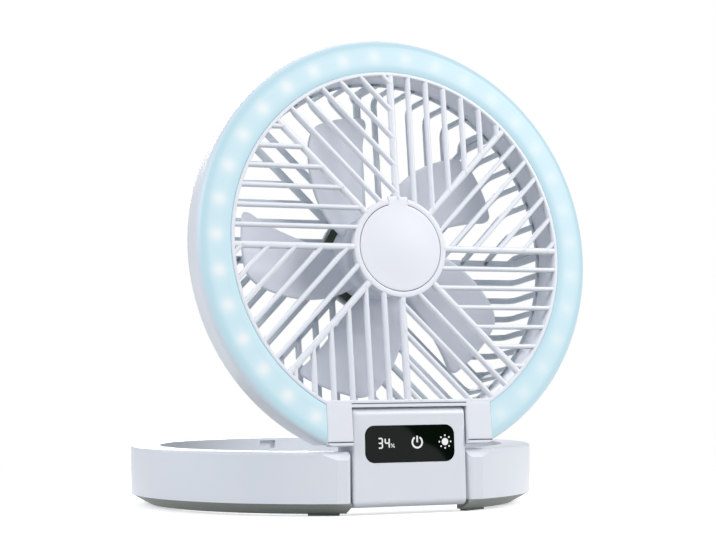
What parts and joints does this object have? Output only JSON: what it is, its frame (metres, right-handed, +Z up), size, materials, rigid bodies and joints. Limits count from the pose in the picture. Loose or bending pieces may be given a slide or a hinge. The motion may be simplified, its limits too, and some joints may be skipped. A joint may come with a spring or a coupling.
{
  "type": "portable camping fan",
  "caption": "Folding camping fan with a round fan head, swirl grille, ring light and motor, hinged by a display block to a flat ring base with internal batteries.",
  "frame": {"origin": "centre of the bounding box's foot: on the table, midway between the head's front edge and the back of the ring base", "axes": "+Z up from the table, the fan blows towards -Y, and the hinge runs along X"},
  "size_m": [0.22, 0.2124, 0.2442],
  "materials": {
    "shell_white": "satin white moulded plastic",
    "guard_white": "satin white moulded plastic",
    "lens_lit": "translucent milky plastic, lit from behind",
    "blade_grey": "smooth pale grey plastic",
    "window_black": "polished smoked plastic",
    "board_green": "dark green solder mask",
    "board_white": "white solder mask",
    "chip_white": "moulded lamp packages",
    "steel": "plain turned and stamped steel",
    "sheet_steel": "drawn and laminated steel",
    "copper_wire": "enamelled copper windings",
    "magnet": "bonded ferrite ring",
    "module_black": "black display housing",
    "cell_wrap": "blue shrink wrap over a metal-foil cell",
    "pad_rubber": "matt elastomer"
  },
  "bodies": {
    "base": {"base_top_shell": "shell_white", "base_bottom_tray": "shell_white", "block_front_cover": "shell_white", "block_rear_cover": "shell_white", "display_window": "window_black", "display_board": "board_green", "digit_module": "module_black", "hinge_pin_left": "steel", "hinge_pin_right": "steel", "friction_washers": "steel", "hinge_nuts": "steel", "control_board": "board_green", "charge_socket": "steel", "base_screws": "steel", "battery_cell_1": "cell_wrap", "battery_cell_2": "cell_wrap", "battery_cell_3": "cell_wrap", "battery_cell_4": "cell_wrap", "battery_cell_5": "cell_wrap", "battery_cell_6": "cell_wrap", "foot_pad_1": "pad_rubber", "foot_pad_2": "pad_rubber", "foot_pad_3": "pad_rubber", "foot_pad_4": "pad_rubber"},
    "head": {"front_grille": "guard_white", "hub_cap": "guard_white", "light_diffuser": "lens_lit", "led_board": "board_white", "led_chips": "chip_white", "head_frame": "shell_white", "rear_housing": "shell_white", "head_screws": "steel", "rear_cage": "guard_white", "motor_base": "sheet_steel", "motor_board": "board_green", "stator_core": "sheet_steel", "stator_coils": "copper_wire", "rear_bearing": "steel", "front_bearing": "steel", "motor_screws": "steel"},
    "rotor": {"motor_shaft": "steel", "shaft_clip": "steel", "rotor_cup": "sheet_steel", "rotor_magnet": "magnet", "impeller": "blade_grey"}
  },
  "joints": [
    {"name": "head_tilt", "type": "hinge", "parent": "base", "child": "head", "pos_m": [0, -0.09475, 0.0435], "axis": [-1, 0, 0], "range_deg": [-6.8, 83.2]},
    {"name": "impeller_spin", "type": "hinge", "parent": "head", "child": "rotor", "pos_m": [0, -0.06446, 0.13194], "axis": [0, -0.993, 0.1184], "continuous": true}
  ]
}
